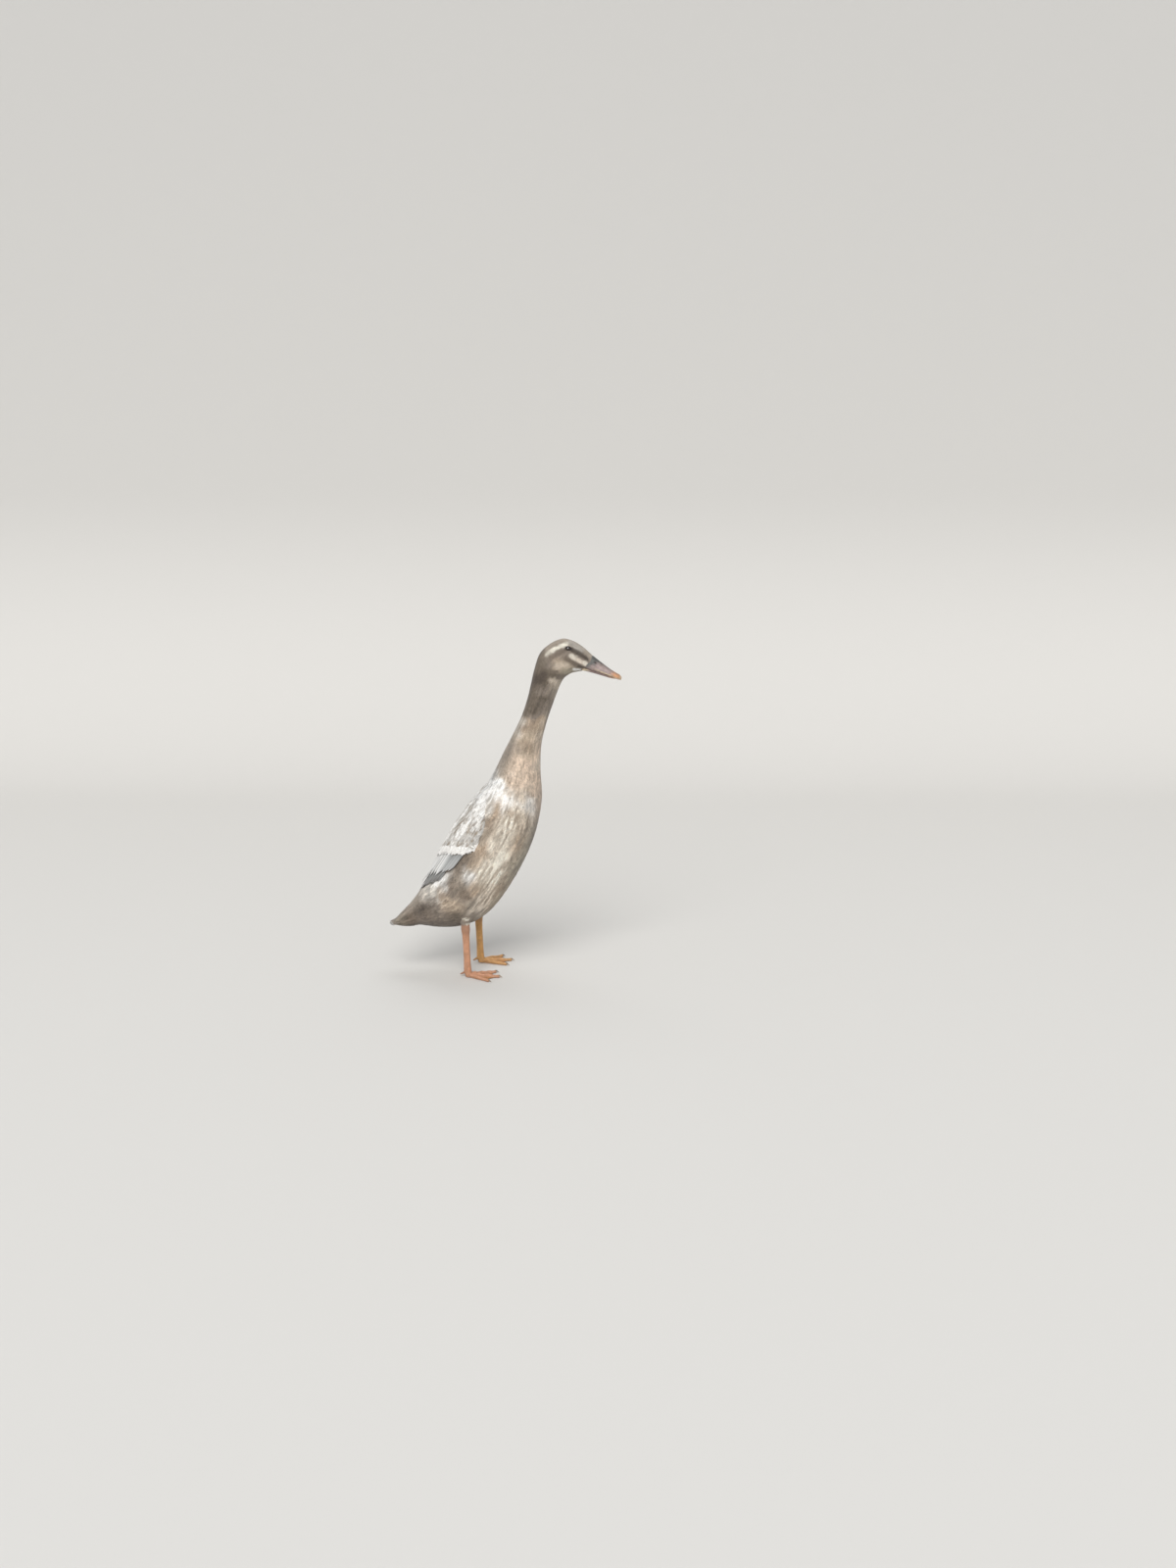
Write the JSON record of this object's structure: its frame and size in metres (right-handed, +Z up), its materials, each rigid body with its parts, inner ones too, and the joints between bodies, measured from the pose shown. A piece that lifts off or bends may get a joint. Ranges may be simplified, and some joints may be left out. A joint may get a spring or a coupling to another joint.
{
  "type": "indian runner duck",
  "caption": "Upright long-necked domestic duck standing still on webbed feet, with folded wings and a flat bill, as a life-size display figure.",
  "frame": {"origin": "on the floor under the middle of the duck's box", "axes": "+X forward, the way the bill points; +Y the duck's left; +Z up"},
  "size_m": [0.3761, 0.1168, 0.5427],
  "materials": {
    "body_plumage": "matt feathers, buff brown",
    "neck_plumage": "matt feathers, grey brown",
    "head_plumage": "matt short feathers, grey brown with cream stripes",
    "tail_plumage": "matt feathers, olive grey",
    "wing_plumage": "smooth feathers, silver grey and white",
    "leg_skin": "scaled skin, orange",
    "bill_horn": "smooth horn, mauve grey and orange",
    "eye_gloss": "wet gloss, dark brown"
  },
  "bodies": {
    "root": {"torso": "body_plumage", "neck": "neck_plumage", "head": "head_plumage", "tail": "tail_plumage", "wing_right": "wing_plumage", "wing_left": "wing_plumage", "thigh_right": "body_plumage", "thigh_left": "body_plumage", "shank_right": "leg_skin", "shank_left": "leg_skin", "foot_right": "leg_skin", "foot_left": "leg_skin", "bill_upper": "bill_horn", "bill_lower": "bill_horn", "eye_right": "eye_gloss", "eye_left": "eye_gloss"}
  },
  "joints": []
}
